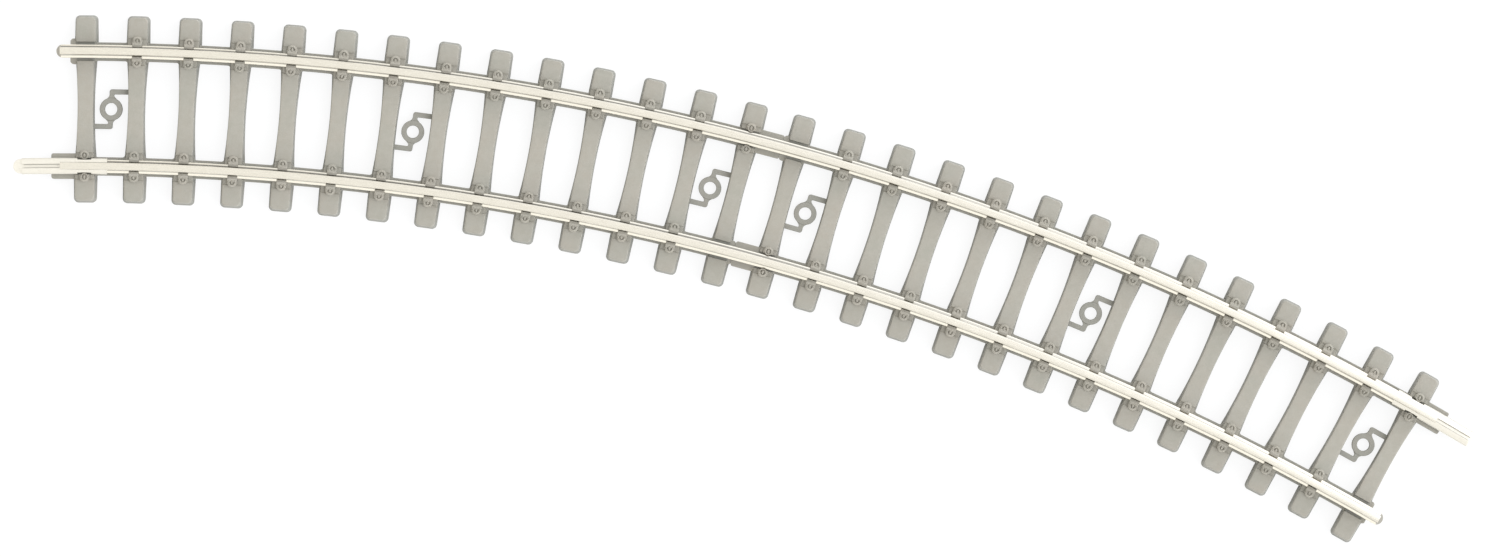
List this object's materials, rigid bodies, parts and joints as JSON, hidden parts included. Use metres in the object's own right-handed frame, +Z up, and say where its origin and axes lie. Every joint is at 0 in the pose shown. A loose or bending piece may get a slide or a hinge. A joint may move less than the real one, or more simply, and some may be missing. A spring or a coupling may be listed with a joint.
{
  "type": "model track section",
  "caption": "Curved section of model railway track: two rails in chairs on concrete-style sleepers moulded in strips, with screw eyelets and a sliding sheet-metal joiner at each end.",
  "frame": {"origin": "middle of the bounding box, at the height of the sleepers' undersides", "axes": "+X along the chord from the left end to the right end, +Y to the outside of the curve, +Z up; the arc's centre lies on the -Y side, 415.3 mm from the origin"},
  "size_m": [0.233, 0.0426, 0.0048],
  "materials": {
    "sleeper_plastic": "matt moulded plastic, warm concrete grey",
    "rail_metal": "drawn nickel-silver with fine lengthwise grain, bright head",
    "joiner_metal": "folded nickel-silver sheet, satin"
  },
  "bodies": {
    "left_strip": {"sleeper_strip_left": "sleeper_plastic"},
    "right_strip": {"sleeper_strip_right": "sleeper_plastic"},
    "outer_rail": {"outer_rail": "rail_metal"},
    "inner_rail": {"inner_rail": "rail_metal"},
    "left_joiner": {"rail_joiner_left": "joiner_metal"},
    "right_joiner": {"rail_joiner_right": "joiner_metal"}
  },
  "joints": [
    {"name": "left_joiner_slide", "type": "hinge", "parent": "left_strip", "child": "left_joiner", "pos_m": [-0.00233, -0.41525, 0], "axis": [0, 0, 1], "range_deg": [-0.0347, 0.0347]},
    {"name": "outer_rail_creep", "type": "hinge", "parent": "left_strip", "child": "outer_rail", "pos_m": [-0.00233, -0.41525, 0], "axis": [0, 0, 1], "range_deg": [-0.0332, 0.0332]},
    {"name": "inner_rail_creep", "type": "hinge", "parent": "left_strip", "child": "inner_rail", "pos_m": [-0.00233, -0.41525, 0], "axis": [0, 0, 1], "range_deg": [-0.0347, 0.0347]},
    {"name": "right_strip_slide", "type": "hinge", "parent": "left_strip", "child": "right_strip", "pos_m": [-0.00233, -0.41525, 0], "axis": [0, 0, 1], "range_deg": [-0.034, 0.0095]},
    {"name": "right_joiner_slide", "type": "hinge", "parent": "right_strip", "child": "right_joiner", "pos_m": [-0.00233, -0.41525, 0], "axis": [0, 0, 1], "range_deg": [-0.0332, 0.0332]}
  ]
}
